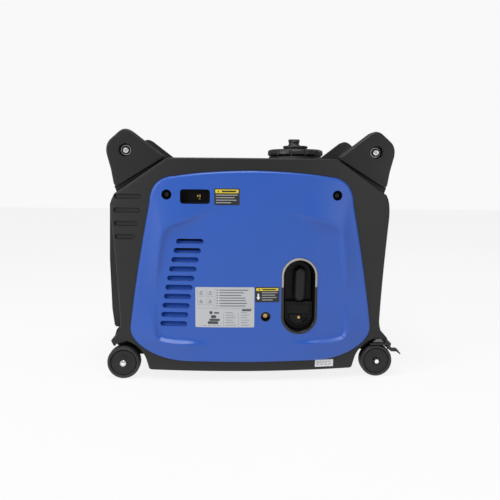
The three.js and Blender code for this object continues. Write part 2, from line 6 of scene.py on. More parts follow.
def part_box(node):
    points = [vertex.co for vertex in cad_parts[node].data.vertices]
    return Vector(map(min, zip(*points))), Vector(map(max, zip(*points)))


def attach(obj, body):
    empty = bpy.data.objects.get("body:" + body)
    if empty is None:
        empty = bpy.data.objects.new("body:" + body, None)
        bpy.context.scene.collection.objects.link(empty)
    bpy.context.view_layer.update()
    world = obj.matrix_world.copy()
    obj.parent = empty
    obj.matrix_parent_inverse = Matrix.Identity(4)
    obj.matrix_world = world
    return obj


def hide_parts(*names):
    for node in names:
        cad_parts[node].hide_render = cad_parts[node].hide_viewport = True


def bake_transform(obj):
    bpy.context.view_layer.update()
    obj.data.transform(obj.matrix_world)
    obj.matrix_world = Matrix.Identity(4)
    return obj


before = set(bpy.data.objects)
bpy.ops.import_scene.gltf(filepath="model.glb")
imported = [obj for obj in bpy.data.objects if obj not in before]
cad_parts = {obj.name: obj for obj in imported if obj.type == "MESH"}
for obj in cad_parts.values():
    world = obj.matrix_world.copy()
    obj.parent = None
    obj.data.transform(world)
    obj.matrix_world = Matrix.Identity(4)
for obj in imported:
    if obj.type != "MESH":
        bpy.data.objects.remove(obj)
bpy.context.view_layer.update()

# Sizes below are in millimetres on the machine's own centre lines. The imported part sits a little
# to one side of them in X, so its offset is read from the frame.
mm = 0.001
frameLow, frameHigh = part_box("side_frame_near")
offsetX = (frameLow[0] + frameHigh[0]) / 2 / mm

camera = {"lens": 43.03, "place": (-46.5, -1348.1, 393.2), "yaw": 3.168, "pitch": 6.316,
          "roll": -0.458, "shift": (-0.0221, -0.0068)}


def addCamera(size):
    yaw, pitch, roll = (math.radians(size[k]) for k in ("yaw", "pitch", "roll"))
    forward = Vector((math.sin(yaw) * math.cos(pitch), math.cos(yaw) * math.cos(pitch),
                      -math.sin(pitch)))
    level = Vector((math.cos(yaw), -math.sin(yaw), 0))
    down = forward.cross(level)
    right = level * math.cos(roll) + down * math.sin(roll)
    up = level * math.sin(roll) - down * math.cos(roll)
    bpy.ops.object.camera_add()
    seen = bpy.context.object
    turn = Matrix((right, up, -forward)).transposed().to_4x4()
    x, y, z = size["place"]
    seen.matrix_world = Matrix.Translation(((x + offsetX) * mm, y * mm, z * mm)) @ turn
    seen.data.lens = size["lens"]
    seen.data.sensor_width = 36
    seen.data.shift_x, seen.data.shift_y = size["shift"]
    seen.data.clip_start = 0.01
    bpy.context.scene.camera = seen


addCamera(camera)


def newGroup(name, inputs, outputs):
    group = bpy.data.node_groups.new(name, "ShaderNodeTree")
    for label, value in inputs:
        socket = group.interface.new_socket(label, in_out="INPUT", socket_type="NodeSocketFloat")
        socket.default_value = value
    for label in outputs:
        group.interface.new_socket(label, in_out="OUTPUT", socket_type="NodeSocketFloat")
    return group


def link(tree, source, target):
    tree.links.new(source, target)


def node(tree, kind, **settings):
    made = tree.nodes.new(kind)
    for key, value in settings.items():
        setattr(made, key, value)
    return made


def buildGrain():
    group = newGroup("mouldedGrain", [("Fine Scale", 900.0), ("Broad Scale", 14.0)],
                     ["Fine", "Broad", "Dust"])
    entry = node(group, "NodeGroupInput")
    leave = node(group, "NodeGroupOutput")
    place = node(group, "ShaderNodeTexCoord")
    fine = node(group, "ShaderNodeTexNoise", noise_dimensions="3D")
    fine.inputs["Detail"].default_value = 3
    broad = node(group, "ShaderNodeTexNoise", noise_dimensions="3D")
    broad.inputs["Detail"].default_value = 4
    dust = node(group, "ShaderNodeTexNoise", noise_dimensions="3D")
    dust.inputs["Scale"].default_value = 130
    dust.inputs["Detail"].default_value = 6
    settle = node(group, "ShaderNodeMapRange")
    settle.inputs["From Min"].default_value = 0.58
    settle.inputs["From Max"].default_value = 0.8
    for texture in (fine, broad, dust):
        link(group, place.outputs["Object"], texture.inputs["Vector"])
    link(group, entry.outputs["Fine Scale"], fine.inputs["Scale"])
    link(group, entry.outputs["Broad Scale"], broad.inputs["Scale"])
    link(group, fine.outputs["Fac"], leave.inputs["Fine"])
    link(group, broad.outputs["Fac"], leave.inputs["Broad"])
    link(group, dust.outputs["Fac"], settle.inputs["Value"])
    link(group, settle.outputs["Result"], leave.inputs["Dust"])
    return group


grainGroup = buildGrain()


def makeMaterial(name, color, second=None, roughness=0.5, spread=0.08, metallic=0.0, grain=900,
                 broad=14, bump=0.08, depth=0.0002, dustColor=None, coat=0.0, shine=0.5):
    material = bpy.data.materials.new(name)
    material.use_nodes = True
    tree = material.node_tree
    shader = tree.nodes["Principled BSDF"]
    shader.inputs["Metallic"].default_value = metallic
    shader.inputs["Coat Weight"].default_value = coat
    shader.inputs["Coat Roughness"].default_value = 0.3
    shader.inputs["Specular IOR Level"].default_value = shine
    grains = node(tree, "ShaderNodeGroup", node_tree=grainGroup)
    grains.inputs["Fine Scale"].default_value = grain
    grains.inputs["Broad Scale"].default_value = broad
    mix = node(tree, "ShaderNodeMix", data_type="RGBA")
    mix.inputs["A"].default_value = (*color, 1)
    mix.inputs["B"].default_value = (*(second or [c * 1.25 for c in color]), 1)
    link(tree, grains.outputs["Broad"], mix.inputs["Factor"])
    colored = mix.outputs["Result"]
    if dustColor:
        dusty = node(tree, "ShaderNodeMix", data_type="RGBA")
        dusty.inputs["B"].default_value = (*dustColor, 1)
        soften = node(tree, "ShaderNodeMath", operation="MULTIPLY")
        soften.inputs[1].default_value = 0.25
        link(tree, grains.outputs["Dust"], soften.inputs[0])
        link(tree, soften.outputs[0], dusty.inputs["Factor"])
        link(tree, colored, dusty.inputs["A"])
        colored = dusty.outputs["Result"]
    link(tree, colored, shader.inputs["Base Color"])
    rough = node(tree, "ShaderNodeMapRange")
    rough.inputs["To Min"].default_value = max(roughness - spread, 0.02)
    rough.inputs["To Max"].default_value = min(roughness + spread, 1)
    link(tree, grains.outputs["Fine"], rough.inputs["Value"])
    link(tree, rough.outputs["Result"], shader.inputs["Roughness"])
    raised = node(tree, "ShaderNodeBump")
    raised.inputs["Strength"].default_value = bump
    raised.inputs["Distance"].default_value = depth
    link(tree, grains.outputs["Fine"], raised.inputs["Height"])
    link(tree, raised.outputs["Normal"], shader.inputs["Normal"])
    return material


materials = {
    "black": makeMaterial("blackPlastic", (0.011, 0.011, 0.0115), (0.015, 0.015, 0.0155),
                          roughness=0.44, grain=1400, bump=0.3, shine=0.38,
                          dustColor=(0.03, 0.0295, 0.0285)),
    "blue": makeMaterial("bluePlastic", (0.012, 0.082, 0.42), (0.016, 0.09, 0.44), roughness=0.4,
                         grain=700, bump=0.05, coat=0.2),
    "dark": makeMaterial("darkPlastic", (0.014, 0.014, 0.016), (0.02, 0.02, 0.022),
                         roughness=0.42, grain=1200, bump=0.2),
    "gloss": makeMaterial("glossBlack", (0.008, 0.008, 0.009), roughness=0.2, spread=0.05,
                          bump=0.03),
    "tyre": makeMaterial("tyreRubber", (0.019, 0.0185, 0.02), (0.026, 0.025, 0.026), roughness=0.68,
                         grain=1000, bump=0.4, dustColor=(0.12, 0.115, 0.105)),
    "hub": makeMaterial("wheelDisc", (0.012, 0.0115, 0.0125), (0.018, 0.017, 0.018),
                        roughness=0.46, grain=1100, bump=0.15, shine=0.35,
                        dustColor=(0.06, 0.0575, 0.053)),
    "rubber": makeMaterial("gripRubber", (0.009, 0.009, 0.0095), roughness=0.7, grain=1500,
                           bump=0.5, shine=0.35),
    "zinc": makeMaterial("zincSteel", (0.52, 0.53, 0.54), (0.64, 0.65, 0.67), roughness=0.32,
                         metallic=1.0, grain=500, broad=60, bump=0.06),
    "chrome": makeMaterial("brightSteel", (0.93, 0.94, 0.95), roughness=0.22, spread=0.06,
                           metallic=1.0, bump=0.02),
    "trim": makeMaterial("brushedTrim", (0.36, 0.345, 0.335), (0.42, 0.40, 0.385), roughness=0.5,
                         metallic=0.4, bump=0.03),
    "grip": makeMaterial("gripPlastic", (0.007, 0.007, 0.0075), (0.009, 0.009, 0.0095),
                         roughness=0.5, grain=1300, bump=0.25, shine=0.34),
    # Painted shade: a black darker than the body's, for the starter recess, its sill and boss,
    # standing in for the shade deep in the recess
    "recessShadeBlack": makeMaterial("recessShadeBlack", (0.0035, 0.0035, 0.004), roughness=0.42,
                                shine=0.22, bump=0.08),
    # Painted shade: a black darker than the body's, used in the vents, the screw cups and the
    # service window, standing in for the shade inside these cavities
    "pit": makeMaterial("pitShadeBlack", (0.003, 0.003, 0.0035), roughness=0.75, bump=0.1,
                        shine=0.15),
    "blackSteel": makeMaterial("blackSteel", (0.03, 0.03, 0.032), roughness=0.3, metallic=0.7,
                               bump=0.04),
    "dullSteel": makeMaterial("dullSteel", (0.22, 0.22, 0.23), (0.3, 0.3, 0.31), roughness=0.35,
                              metallic=0.9, broad=60, bump=0.05),
    "labelBlack": makeMaterial("labelBlack", (0.012, 0.012, 0.012), roughness=0.4, bump=0.02),
    "labelYellow": makeMaterial("labelYellow", (0.62, 0.48, 0.02), (0.66, 0.52, 0.03),
                                roughness=0.4, bump=0.02),
    "labelGrey": makeMaterial("labelGrey", (0.28, 0.28, 0.29), roughness=0.5, bump=0.02),
    "labelWhite": makeMaterial("labelWhite", (0.72, 0.72, 0.73), (0.78, 0.78, 0.79),
                               roughness=0.5, bump=0.02),
    "labelSilver": makeMaterial("labelSilver", (0.47, 0.48, 0.50), (0.53, 0.54, 0.56),
                                roughness=0.4, metallic=0.2, bump=0.03),
    "labelInk": makeMaterial("labelInk", (0.05, 0.05, 0.055), roughness=0.5, bump=0.02),
    "labelMid": makeMaterial("labelMid", (0.2, 0.2, 0.21), roughness=0.5, bump=0.02),
    "panelGrey": makeMaterial("panelGrey", (0.045, 0.046, 0.049), (0.055, 0.056, 0.059),
                              roughness=0.5, grain=1300, bump=0.2),
    "display": makeMaterial("displayLens", (0.055, 0.075, 0.06), (0.07, 0.09, 0.075),
                            roughness=0.1, spread=0.03, bump=0.01, coat=0.5),
    "aluminium": makeMaterial("castAluminium", (0.48, 0.49, 0.5), (0.58, 0.59, 0.6),
                              roughness=0.5, metallic=1.0, grain=800, bump=0.35),
    "iron": makeMaterial("paintedIron", (0.08, 0.082, 0.085), (0.12, 0.12, 0.125), roughness=0.6,
                         metallic=0.7, grain=700, bump=0.5),
    "red": makeMaterial("redPlastic", (0.5, 0.03, 0.02), roughness=0.3, bump=0.05, coat=0.2),
    "brass": makeMaterial("brassScrew", (0.55, 0.36, 0.12), (0.68, 0.46, 0.18), roughness=0.3,
                          metallic=1.0, broad=80, bump=0.08),
    "copper": makeMaterial("copperWire", (0.45, 0.17, 0.07), (0.56, 0.24, 0.1), roughness=0.35,
                           metallic=1.0, grain=400, bump=0.6),
    "cord": makeMaterial("braidedCord", (0.2, 0.2, 0.21), (0.32, 0.32, 0.33), roughness=0.9,
                         grain=2500, bump=0.8, depth=0.0005),
}
print("materials made")

# Modelling helpers


def deselect():
    bpy.ops.object.select_all(action="DESELECT")


def activate(piece):
    deselect()
    piece.select_set(True)
    bpy.context.view_layer.objects.active = piece


weld = {"made": 0.00001, "carried": 0.00002}  # metres


def tidyMesh(piece, holes=True):
    activate(piece)
    bpy.ops.object.mode_set(mode="EDIT")
    bpy.ops.mesh.select_all(action="SELECT")
    bpy.ops.mesh.remove_doubles(threshold=weld["made"])
    if holes:
        bpy.ops.mesh.fill_holes(sides=0)
        bpy.ops.mesh.select_all(action="SELECT")
    bpy.ops.mesh.normals_make_consistent(inside=False)
    bpy.ops.object.mode_set(mode="OBJECT")


# A grid rolled through closed rings of points, one row of the grid to a ring
def rolled(name, rings, holes=True):
    across = len(rings[0])
    deselect()
    bpy.ops.mesh.primitive_grid_add(x_subdivisions=across, y_subdivisions=len(rings) - 1, size=1)
    piece = bpy.context.object
    piece.name = name
    for index, vertex in enumerate(piece.data.vertices):
        row, column = divmod(index, across + 1)
        x, y, z = rings[row][column % across]
        vertex.co = ((x + offsetX) * mm, y * mm, z * mm)
    tidyMesh(piece, holes)
    return piece


# A profile of (radius, distance along the axis) turned about an axis through center
def lathed(name, profile, center, axis="y", count=64, holes=True):
    cx, cy, cz = center
    rings = []
    for radius, far in profile:
        ring = []
        for i in range(count):
            angle = 2 * math.pi * i / count
            u, v = radius * math.cos(angle), radius * math.sin(angle)
            ring.append((cx + u, cy + far, cz + v) if axis == "y" else (cx + u, cy + v, cz + far))
        rings.append(ring)
    return rolled(name, rings, holes)


# The same profile on the near side (-1) or the far side (1)
def onSide(side, profile):
    return [(radius, side * y) for radius, y in profile]


def joined(name, pieces):
    deselect()
    for piece in pieces:
        piece.select_set(True)
    bpy.context.view_layer.objects.active = pieces[0]
    bpy.ops.object.join()
    pieces[0].name = name
    return pieces[0]


def applied(piece, kind, **settings):
    activate(piece)
    modifier = piece.modifiers.new(kind.lower(), kind)
    for key, value in settings.items():
        setattr(modifier, key, value)
    bpy.ops.object.modifier_apply(modifier=modifier.name)


def carved(piece, cutters):
    tool = joined("cutter", cutters) if len(cutters) > 1 else cutters[0]
    applied(piece, "BOOLEAN", object=tool, operation="DIFFERENCE", solver="EXACT",
            use_self=True)
    bpy.data.objects.remove(tool)


def finished(piece, material, body="root", smooth=35, replaces=()):
    piece.data.materials.clear()
    piece.data.materials.append(materials[material])
    activate(piece)
    bpy.ops.object.shade_smooth_by_angle(angle=math.radians(smooth))
    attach(piece, body)
    if replaces:
        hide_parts(*replaces)
    return piece


softening = {"segments": 3, "sharp": 40, "level": 1.5}


# A copy of a CAD node with its edges rounded, which then stands for the node
def softened(nodeName, material, width, body):
    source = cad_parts[nodeName]
    piece = source.copy()
    piece.data = source.data.copy()
    piece.name = nodeName + "_skin"
    bpy.context.collection.objects.link(piece)
    activate(piece)
    bpy.ops.object.mode_set(mode="EDIT")
    bpy.ops.mesh.select_all(action="SELECT")
    bpy.ops.mesh.remove_doubles(threshold=weld["carried"])
    bpy.ops.mesh.dissolve_limited(angle_limit=math.radians(softening["level"]))
    bpy.ops.object.mode_set(mode="OBJECT")
    applied(piece, "BEVEL", width=width * mm, segments=softening["segments"],
            limit_method="ANGLE", angle_limit=math.radians(softening["sharp"]),
            harden_normals=False)
    return finished(piece, material, body, replaces=(nodeName,))


# Evenly spaced points along a chain of straight lines, without the last one
def along(points, count):
    lengths = [0]
    for a, b in zip(points, points[1:]):
        lengths.append(lengths[-1] + math.dist(a, b))
    places = []
    step = 0
    for i in range(count):
        target = lengths[-1] * i / count
        while lengths[step + 1] < target:
            step += 1
        part = (target - lengths[step]) / max(lengths[step + 1] - lengths[step], 1e-9)
        a, b = points[step], points[step + 1]
        places.append((a[0] + (b[0] - a[0]) * part, a[1] + (b[1] - a[1]) * part))
    return places


# A bend from start to end that heads for the control point
def curve(start, control, end, count=24):
    points = []
    for i in range(count + 1):
        t = i / count
        points.append(tuple((1 - t) ** 2 * start[k] + 2 * t * (1 - t) * control[k]
                            + t * t * end[k] for k in (0, 1)))
    return points


# A closed outline from its right half, with the left half mirrored from other sections if given
def outline(sections, counts, other=None):
    right = [p for part, count in zip(sections, counts) for p in along(part, count)]
    top = sections[-1][-1]
    left = [p for part, count in zip(other or sections, counts) for p in along(part, count)]
    mirrored = [(-x, z) for x, z in reversed(left[1:])]
    return right + [top] + mirrored


# The loop moved inwards, with a limit on how far a sharp corner moves
def insetLoop(loop, distance):
    count = len(loop)
    moved = []
    for i, (x, z) in enumerate(loop):
        before, after = loop[i - 1], loop[(i + 1) % count]
        normals = []
        for a, b in ((before, (x, z)), ((x, z), after)):
            dx, dz = b[0] - a[0], b[1] - a[1]
            length = math.hypot(dx, dz) or 1
            normals.append((-dz / length, dx / length))
        nx, nz = normals[0][0] + normals[1][0], normals[0][1] + normals[1][1]
        size = max(nx * nx + nz * nz, 1.2)
        moved.append((x + 2 * distance * nx / size, z + 2 * distance * nz / size))
    return moved


def blended(first, second, part):
    return [(a[0] + (b[0] - a[0]) * part, a[1] + (b[1] - a[1]) * part)
            for a, b in zip(first, second)]


def scaled(loop, factor, middle):
    return [(middle[0] + (x - middle[0]) * factor, middle[1] + (z - middle[1]) * factor)
            for x, z in loop]


def stadium(x0, x1, z0, z1, count=48):
    radius = min(x1 - x0, z1 - z0) / 2
    wide = x1 - x0 > z1 - z0
    spread = (max(x1 - x0, z1 - z0) / 2 - radius)
    cx, cz = (x0 + x1) / 2, (z0 + z1) / 2
    points = []
    for i in range(count):
        angle = 2 * math.pi * (i + 0.5) / count
        x, z = radius * math.cos(angle), radius * math.sin(angle)
        if wide:
            x += math.copysign(spread, math.cos(angle))
        else:
            z += math.copysign(spread, math.sin(angle))
        points.append((cx + x, cz + z))
    return points


def roundedBox(x0, x1, z0, z1, radius, count=48):
    cx, cz = (x0 + x1) / 2, (z0 + z1) / 2
    halfX, halfZ = (x1 - x0) / 2 - radius, (z1 - z0) / 2 - radius
    points = []
    for i in range(count):
        angle = 2 * math.pi * (i + 0.5) / count
        points.append((cx + radius * math.cos(angle) + math.copysign(halfX, math.cos(angle)),
                       cz + radius * math.sin(angle) + math.copysign(halfZ, math.sin(angle))))
    return points


# The sides bulge outwards: rise at the middle, radius of the bulge, inner face of the frames
bow = {"rise": 208, "radius": 1176, "inner": 147}


# Where the bulging side is at x, with out added to its height
def bowY(x, out, side=-1):
    return side * (bow["rise"] + out - x * x / (2 * bow["radius"]))


def onBow(loop, out, side=-1):
    outs = out if isinstance(out, (list, tuple)) else [out] * len(loop)
    return [(x, bowY(x, o, side), z) for (x, z), o in zip(loop, outs)]


def flat(loop, y):
    return [(x, y, z) for x, z in loop]


# Steps inwards and outwards round a quarter circle
def rounding(radius, steps=5):
    return [(radius * (1 - math.cos(a)), radius * math.sin(a))
            for a in (math.pi / 2 * i / steps for i in range(steps + 1))]


print("helpers ready")

# Side frames: each outline runs from the bottom middle up to the top middle in seven parts,
# and these are the points that each part gets
frameCounts = (12, 12, 18, 14, 30, 18, 12)


def frameSections(foot):
    bottom = [(0, 19.6), (196, 19.6)]
    heel = curve((196, 19.6), (202.6, 19.6), (203.4, 25.6), 8) + [(206.5, 36)]
    arch = curve((206.5, 36), (216, 72), (264, 79))
    tab = [(264, 79), (271, foot), (273.3, foot), (279.2, 74), (262.5, 93)]
    side = [(262.5, 93), (259, 107)] + curve((259, 107), (262, 190), (274, 320)) \
        + curve((274, 320), (276, 352), (267, 366))
    shoulder = [(267, 366), (176, 427)]
    top = curve((176, 427), (168, 435.4), (156, 435.4), 8) + [(0, 435.4)]
    return [bottom, heel, arch, tab, side, shoulder, top]


def panelSections():
    bottom = [(0, 39), (130, 40)]
    heel = curve((130, 40), (158, 41), (180, 48.6), 8)
    low = curve((180, 48.6), (203, 56), (221, 70.6), 10)
    corner = curve((221, 70.6), (240, 86), (238, 107))
    side = curve((238, 107), (223, 225), (198, 347))
    upper = curve((198, 347), (196, 398), (149, 400.5))
    top = curve((149, 400.5), (90, 410.5), (0, 411.6))
    return [bottom, heel, low, corner, side, upper, top]


panelLoop = outline(panelSections(), frameCounts)


# Ears: their faces across the machine, and the middle of the bolt
ears = {"back": bow["inner"] + 0.2, "web": 169, "face": 177.8, "radius": 4, "x": 244.6,
        "z": 449.7}


def earLoop(end):
    right = [(172, 433), (255.5, 382.9)] + curve((255.5, 382.9), (266, 376.6), (267.9, 387), 8) \
        + [(272.3, 413)] + curve((279.5, 440), (283.2, 458), (273.5, 469), 12) \
        + curve((256, 484.5), (249.5, 490), (242.5, 489.8), 8) \
        + curve((242.5, 489.8), (237, 490), (231, 485.3), 8) + [(172, 440)]
    loop = along(right + [right[0]], 96)
    return loop if end > 0 else [(-x, z) for x, z in reversed(loop)]


def frameBody(side):
    outer = outline(frameSections(69.6), frameCounts, frameSections(63))
    inner = scaled(panelLoop, 0.95, (0, 225))
    rings = [flat(outer, side * ears["back"])]
    for part in (0.25, 0.5, 0.75):
        rings.append([(x, side * (bow["inner"] * (1 - part)
                                  + part * abs(bowY(x, -3.2))), z) for x, z in outer])
    for inwards, out in rounding(3, 5):
        rings.append(onBow(insetLoop(outer, inwards), out - 3.05, side))
    face = insetLoop(outer, 3)
    for i in range(1, 9):
        rings.append(onBow(blended(face, inner, i / 8), -0.05, side))
    rings.append(onBow(inner, -7, side))
    rings.append(flat(inner, side * 160))
    rings.append(flat(inner, side * ears["back"]))
    rings.append(rings[0])
    return rolled("frameBody", rings, holes=False)


def earRings(loop, side):
    face, radius = ears["face"], ears["radius"]
    rings = [flat(loop, side * ears["back"]), flat(loop, side * (face - radius))]
    for inwards, out in rounding(radius, 5)[1:]:
        rings.append(flat(insetLoop(loop, inwards), side * (face - radius + out)))
    return rings


def frameEar(end, side):
    ear = rolled("ear", earRings(earLoop(end), side))
    web = [(150, 400), (250, 345), (262, 366), (267, 380), (262, 386), (176, 439), (156, 434)]
    web = web if end > 0 else [(-x, z) for x, z in reversed(web)]
    root = rolled("earRoot", [flat(web, side * ears["back"]), flat(web, side * ears["web"])])
    well = [(0, 161), (12.5, 161), (12.5, 176), (13.4, 178.2), (13.4, 190), (0, 190)]
    carved(ear, [lathed("well", onSide(side, well), (end * ears["x"], 0, ears["z"]), count=40)])
    return [ear, root]


# Four slots beside the panel: left end, right end and height of each
slots = {"rows": ((-267, -213, 360.8), (-268.5, -215.5, 334.3), (-268, -221, 308.4),
                  (-267, -226, 282.8)), "half": 4.7, "slope": 1.4, "floor": -3.4, "edge": -0.9}


def sideFrame(side, name):
    body = frameBody(side)
    cutters = []
    for x0, x1, z in slots["rows"]:
        loop = stadium(x0, x1, z - slots["half"], z + slots["half"], 32)
        narrow = insetLoop(loop, slots["slope"])
        cutters.append(rolled("slot", [onBow(narrow, slots["floor"], side),
                                       onBow(loop, slots["edge"], side), onBow(loop, 6, side)]))
    carved(body, cutters)
    both = frameEar(-1, side) + frameEar(1, side)
    return finished(joined(name, [body] + both), "black", "root", 32,
                    (name.replace("_skin", ""),))


# Blue side panels
# The panel stands proud of the bow, with a rounded edge, and its corners rise behind a slope
panel = {"proud": 5.55, "edge": 5, "rise": 7.2, "slope": 9.5, "back": -11, "middle": (0, 170)}
corners = {"x": 74, "acrossX": 46, "z": 165, "acrossZ": 75}
panelScrew = {"x": 163.7, "z": 365.3}
drain = {"x": 26.1, "z": 130.5}
window = {"x": (-137.9, -81.1), "z": (348.1, 375.6), "corner": 6, "gap": 0.5}


def fieldSections():
    bottom = [(0, 74), (110, 75)]
    heel = [(110, 75), (140, 76)]
    low = curve((140, 76), (166, 77), (180, 82), 8)
    corner = curve((180, 82), (190, 88), (190, 110), 10)
    side = curve((190, 110), (190, 190), (174, 283))
    upper = curve((174, 283), (168, 306), (146, 312), 12)
    top = [(146, 312), (88, 333), (0, 342)]
    return [bottom, heel, low, corner, side, upper, top]


def eased(part):
    held = min(max(part, 0), 1)
    return held * held * (3 - 2 * held)


# How far the margin rises at a point: most at the corners, and never past the bulge's top
def marginRise(x, z):
    room = min(panel["rise"], x * x / (2 * bow["radius"]))
    reach = eased((abs(x) - corners["x"]) / corners["acrossX"])
    return room * reach * eased(abs(z - corners["z"]) / corners["acrossZ"])


def panelShell(side):
    proud, edge, slope = panel["proud"], panel["edge"], panel["slope"]
    loop = insetLoop(panelLoop, 0.2)
    back = insetLoop(loop, 12)
    rings = [onBow([panel["middle"]] * len(back), panel["back"], side)]
    for factor in (0.1, 0.3, 0.5, 0.7, 0.85, 1):
        rings.append(onBow(scaled(back, factor, panel["middle"]), panel["back"], side))
    rings += [onBow(back, 0.4, side), onBow(loop, 0.4, side)]
    for inwards, out in rounding(edge, 6):
        rings.append(onBow(insetLoop(loop, inwards), proud - edge + out, side))
    face = insetLoop(loop, edge)
    field = outline(fieldSections(), frameCounts)
    rises = [marginRise(x, z) for x, z in field]
    for i in range(1, 9):
        part = i / 8
        between = blended(face, insetLoop(field, -1), part)
        rings.append(onBow(between, [proud + rise * part ** 1.3 for rise in rises], side))
    for part, sink in ((0.1, 0.05), (0.3, 0.26), (0.55, 0.6), (0.8, 0.9), (1, 1)):
        inner = insetLoop(field, slope * part)
        rings.append(onBow(inner, [proud + rise * (1 - sink) for rise in rises], side))
    inner = insetLoop(field, slope)
    for factor in (0.96, 0.85, 0.7, 0.55, 0.4, 0.25, 0.1):
        rings.append(onBow(scaled(inner, factor, panel["middle"]), proud, side))
    rings.append(onBow([panel["middle"]] * len(inner), proud, side))
    return rings


vent = {"count": 10, "wide": 52.6, "left": -146, "top": 276.3, "pitch": 17.87, "half": 5.2,
        "floor": 0.4, "slope": 3.2}


# Left end and height of a vent: the column leans outwards and bends a little
def ventPlace(index):
    left = vent["left"] - 5.1 * index + 0.17 * index * index
    return left, vent["top"] - vent["pitch"] * index


# The louvre's floor slopes inwards from the bottom of the vent to its top
def ventFloor(loop, z):
    return [vent["floor"] - vent["slope"] * (1 + (level - z) / vent["half"]) for _, level in loop]


def panelVents(side):
    cutters = []
    for i in range(vent["count"]):
        x0, z = ventPlace(i)
        loop = stadium(x0, x0 + vent["wide"], z - vent["half"], z + vent["half"], 32)
        cutters.append(rolled("vent", [onBow(loop, ventFloor(loop, z), side),
                                       onBow(loop, 12, side)]))
    return cutters


# Painted shadow: thin near-black strips on each vent's floor, just under its top edge, stand in for
# the shade there. The top two vents get taller strips.
def ventShadeStrips(side, name):
    shadeStrips = []
    for i in range(vent["count"]):
        x0, z = ventPlace(i)
        tall = 4.4 if i < 2 else 1.8
        top = z + vent["half"] - 0.4
        loop = along(stadium(x0 + 1.6, x0 + vent["wide"] - 1.2, top - tall, top, 24), 24)
        floor = ventFloor(loop, z)
        shadeStrips.append(rolled("vent_shade_strip", [onBow(loop, [f - 0.6 for f in floor], side),
                                     onBow(loop, [f + 0.3 for f in floor], side)]))
    return finished(joined(name, shadeStrips), "pit", "root", 30)


def sidePanel(side, name):
    skin = rolled(name, panelShell(side))
    cutters = panelVents(side)
    hole = onSide(side, ((0, 191), (9.7, 191), (9.7, 225), (0, 225)))
    for end in (-1, 1):
        place = (end * panelScrew["x"], 0, panelScrew["z"])
        cutters.append(lathed("hole", hole, place, count=40))
    if side < 0:
        opening = stadium(57.5, 126.5, 96, 244, 64)
        cutters.append(rolled("opening", [flat(opening, -150), flat(opening, -240)]))
        loop = roundedBox(*window["x"], *window["z"], window["corner"])
        cutters.append(rolled("window", [flat(loop, -192), flat(loop, -240)]))
        cutters.append(lathed("drain", [(0, -230), (9.6, -230), (9.6, -190), (0, -190)],
                              (drain["x"], 0, drain["z"]), count=40))
    carved(skin, cutters)
    return finished(skin, "blue", "root", 28, (name.replace("_skin", ""),))


sideFrame(-1, "side_frame_near_skin")
sideFrame(1, "side_frame_far_skin")
sidePanel(-1, "side_panel_near_skin")
sidePanel(1, "side_panel_far_skin")
# Painted shadow strips in the vents on both sides
ventShadeStrips(-1, "vent_shade_near")
ventShadeStrips(1, "vent_shade_far")
print("side frames and panels made")

# Carried-over CAD nodes
carried = {
    "black": ["base_tray", "air_filter_box"],
    "dark": ["fuel_tank", "battery", "starter_pulley", "ac_socket_a", "ac_socket_b",
             "dc_socket", "display_module", "econ_rocker", "engine_switch_knob"],
    "zinc": ["rear_axle", "crankshaft", "exhaust_outlet"],
    "aluminium": ["recoil_housing", "carburetor", "inverter_module"],
    "iron": ["engine_block", "rotor_fan", "muffler"],
    "copper": ["stator"],
    "cord": ["starter_rope"],
    "rubber": ["filler_plug"],
    "red": ["start_button", "breaker_button"],
    "brass": ["ground_terminal"],
}
for material, names in carried.items():
    for name in names:
        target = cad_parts[name]
        target.data.materials.clear()
        target.data.materials.append(materials[material])

for name, material, width, slot, body in (
        ("exhaust_end_cover", "black", 2.2, "black_plastic", "root"),
        ("control_end_cover", "black", 2.2, "black_plastic", "root"),
        ("top_cover", "black", 1.6, "black_plastic", "root"),
        ("control_panel", "panelGrey", 0.8, "black_plastic", "root"),
        ("ac_cover_a", "black", 0.8, "black_plastic", "ac_cover_a"),
        ("ac_cover_b", "black", 0.8, "black_plastic", "ac_cover_b"),
        ("handle_bar_exhaust", "zinc", 0.6, "steel", "root"),
        ("handle_bar_control", "zinc", 0.6, "steel", "root"),
        ("caster_plate_near", "dullSteel", 0.5, "steel", "root"),
        ("caster_plate_far", "dullSteel", 0.5, "steel", "root"),
        ("caster_fork_near", "blackSteel", 0.6, "steel", "caster_near"),
        ("caster_fork_far", "blackSteel", 0.6, "steel", "caster_far")):
    softened(name, material, width, body)
print("carried-over parts finished")

# Wheels
wheel = {"radius": 32.4, "half": 13.9, "x": 253, "y": 173}
pedal = {"x": 279, "z": 59}


def makeWheel(name, x, side, body):
    half, radius = wheel["half"], wheel["radius"]
    cy = side * wheel["y"]
    tread = [(26.2, -half + 1.2), (27.5, -half + 0.2), (30, -half + 0.6), (31.6, -half + 2.6),
             (radius, -half + 6), (radius, half - 6), (31.6, half - 2.6), (30, half - 0.6),
             (27.5, half - 0.2), (26.2, half - 1.2), (25.4, half - 3.4), (25.4, -half + 3.4),
             (26.2, -half + 1.2)]
    tyre = lathed(name + "_tyre", tread, (x, cy, radius), count=72, holes=False)
    finished(tyre, "tyre", body, 40, (name,))
    disc = [(6.2, -half + 2.2), (7.6, -half + 1), (11, -half + 0.8), (13, -half + 1.6),
            (20, -half + 3), (24, -half + 2.6), (25.2, -half + 4), (25.2, half - 4),
            (24, half - 2.6), (20, half - 3), (13, half - 1.6), (11, half - 0.8),
            (7.6, half - 1), (6.2, half - 2.2), (6.2, -half + 2.2)]
    finished(lathed(name + "_disc", disc, (x, cy, radius), count=72, holes=False), "hub", body,
             40)


